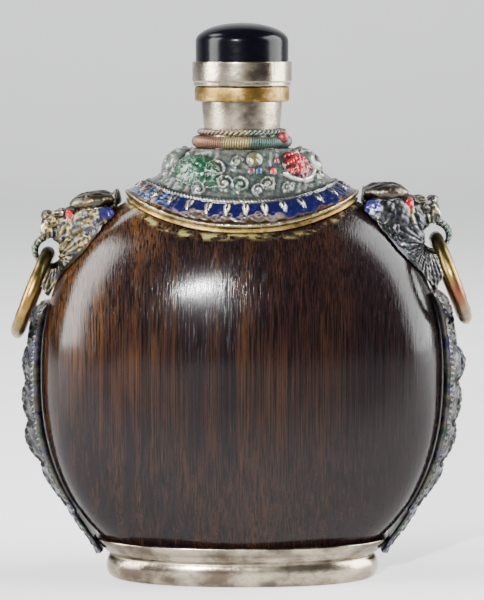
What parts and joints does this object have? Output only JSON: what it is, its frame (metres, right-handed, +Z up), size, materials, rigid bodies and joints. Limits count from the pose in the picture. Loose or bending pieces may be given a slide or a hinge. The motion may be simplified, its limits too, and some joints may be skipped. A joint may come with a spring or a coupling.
{
  "type": "snuff bottle",
  "caption": "Flattened round wooden snuff bottle with an enamelled metal cape, lion masks holding loose rings, side straps, an oval foot and a capped stopper.",
  "frame": {"origin": "centre of the bounding box's underside, on the ground under the middle of the foot", "axes": "+Z up along the neck, -Y towards the viewer of the picture's broad front, +X to the right-hand lion mask"},
  "size_m": [0.0734, 0.034, 0.0882],
  "materials": {
    "polished_wood": "polished near-black brown wood with fine upright grain",
    "white_metal": "worn warm grey white metal",
    "enamelled_silver": "patinated silver relief with blue, green and red enamel",
    "patinated_silver": "darkened silver relief with traces of enamel",
    "coiled_wire": "gilt copper wire with green patina",
    "brass_sheet": "dull yellow brass",
    "gilt_copper": "worn gilt copper",
    "black_cap": "glossy black, blue-black in the highlights"
  },
  "bodies": {
    "bottle": {"bottle_body": "polished_wood", "foot_mount": "white_metal", "shoulder_cape": "enamelled_silver", "cape_liner": "brass_sheet", "neck_tube": "white_metal", "neck_coil_ring": "coiled_wire", "neck_twist_ring": "coiled_wire", "neck_rim_ring": "brass_sheet", "stopper_collar": "white_metal", "stopper_cap": "black_cap", "lion_mask_left": "patinated_silver", "lion_mask_right": "patinated_silver", "side_strap_left": "patinated_silver", "side_strap_right": "patinated_silver"},
    "ring_left": {"mouth_ring_left": "gilt_copper"},
    "ring_right": {"mouth_ring_right": "gilt_copper"}
  },
  "joints": [
    {"name": "ring_left_swing", "type": "hinge", "parent": "bottle", "child": "ring_left", "pos_m": [-0.03083, 0, 0.0517], "axis": [0, 1, 0], "range_deg": [0, 120]},
    {"name": "ring_right_swing", "type": "hinge", "parent": "bottle", "child": "ring_right", "pos_m": [0.03083, 0, 0.0541], "axis": [0, -1, 0], "range_deg": [0, 120]}
  ]
}
